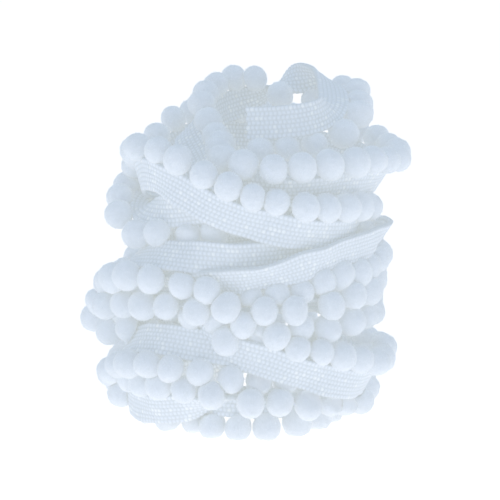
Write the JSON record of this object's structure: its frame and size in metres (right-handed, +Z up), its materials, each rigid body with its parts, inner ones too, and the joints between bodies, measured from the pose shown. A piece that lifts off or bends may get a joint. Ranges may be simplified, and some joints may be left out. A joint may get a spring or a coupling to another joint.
{
  "type": "pompom fringe trim",
  "caption": "White knitted trim with a row of soft pompoms along one edge, wound by hand into a loose, hollow, upright hank with open loops at the top.",
  "frame": {"origin": "bottom centre of the hank's box, on the surface it stands on", "axes": "+Z up along the hank's hollow middle, -Y the front that shows the free end, +X to the right of the front"},
  "size_m": [0.1332, 0.1296, 0.1467],
  "materials": {
    "white_yarn": "matte, soft knitted and tufted yarn, cool white"
  },
  "bodies": {
    "root": {"wound_trim": "white_yarn"}
  },
  "joints": []
}
